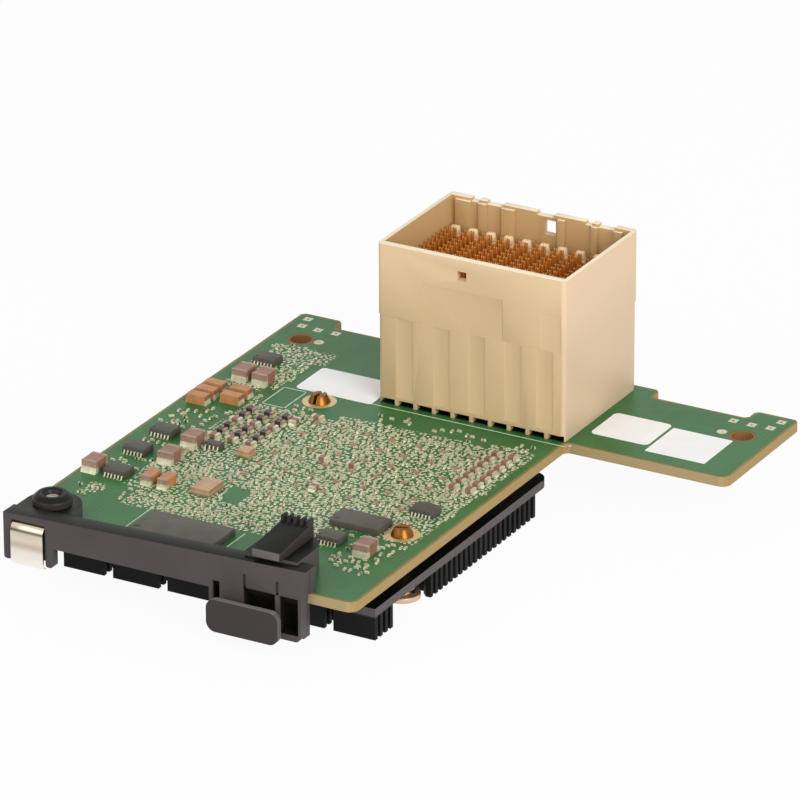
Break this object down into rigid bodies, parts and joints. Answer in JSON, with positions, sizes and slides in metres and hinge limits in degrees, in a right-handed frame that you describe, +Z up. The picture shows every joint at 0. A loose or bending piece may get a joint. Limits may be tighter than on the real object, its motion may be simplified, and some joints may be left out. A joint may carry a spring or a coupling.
{
  "type": "fibre channel expansion card",
  "caption": "Blade server expansion card: green circuit board with a tall shrouded stacking connector, a finned heat sink underneath, a black latch bracket and soldered parts",
  "frame": {"origin": "middle of the card's box in plan, on the plane of the heat sink's fin tips that it rests on", "axes": "+X along the board's front edge to the right, +Y from the bracket to the connector, +Z up"},
  "size_m": [0.086, 0.0924, 0.0362],
  "materials": {
    "board_green": "satin solder mask over glass laminate",
    "connector_beige": "fine matte moulded plastic",
    "contact_gold": "plated spring contacts",
    "sink_black": "black anodised, satin",
    "chip_black": "moulded epoxy",
    "pad_grey": "soft pad",
    "pin_brass": "bright",
    "spring_steel": "drawn wire",
    "bracket_black": "satin black moulding",
    "clip_chrome": "bright plated sheet",
    "tinned_metal": "tin plating and solder",
    "crystal_gold": "gold flashed lid",
    "ceramic_brown": "sintered ceramic",
    "tantalum_orange": "moulded epoxy",
    "small_part_cream": "ceramic with tinned ends"
  },
  "bodies": {
    "root": {"circuit_board": "board_green", "connector_housing": "connector_beige", "contact_wafer_01": "connector_beige", "contact_wafer_02": "connector_beige", "contact_wafer_03": "connector_beige", "contact_wafer_04": "connector_beige", "contact_wafer_05": "connector_beige", "contact_wafer_06": "connector_beige", "contact_wafer_07": "connector_beige", "contact_wafer_08": "connector_beige", "contact_wafer_09": "connector_beige", "contact_wafer_10": "connector_beige", "contact_row_01": "contact_gold", "contact_row_02": "contact_gold", "contact_row_03": "contact_gold", "contact_row_04": "contact_gold", "contact_row_05": "contact_gold", "contact_row_06": "contact_gold", "contact_row_07": "contact_gold", "contact_row_08": "contact_gold", "contact_row_09": "contact_gold", "contact_row_10": "contact_gold", "heat_sink": "sink_black", "controller_chip": "chip_black", "memory_chip": "chip_black", "logic_chip": "chip_black", "small_chip_01": "chip_black", "small_chip_02": "chip_black", "small_chip_03": "chip_black", "small_chip_04": "chip_black", "small_chip_05": "chip_black", "small_chip_06": "chip_black", "thermal_pad": "pad_grey", "push_pin_front": "pin_brass", "push_pin_rear": "pin_brass", "pin_spring_front": "spring_steel", "pin_spring_rear": "spring_steel", "front_bracket": "bracket_black", "bracket_rivet_left": "bracket_black", "bracket_rivet_right": "bracket_black", "spring_clip": "clip_chrome", "chip_leads": "tinned_metal", "ceramic_terminals": "tinned_metal", "tantalum_terminals": "tinned_metal", "crystal_small": "crystal_gold", "crystal_large": "crystal_gold", "ceramic_capacitors": "ceramic_brown", "middle_parts": "ceramic_brown", "tantalum_capacitors": "tantalum_orange", "small_parts": "small_part_cream"}
  },
  "joints": []
}
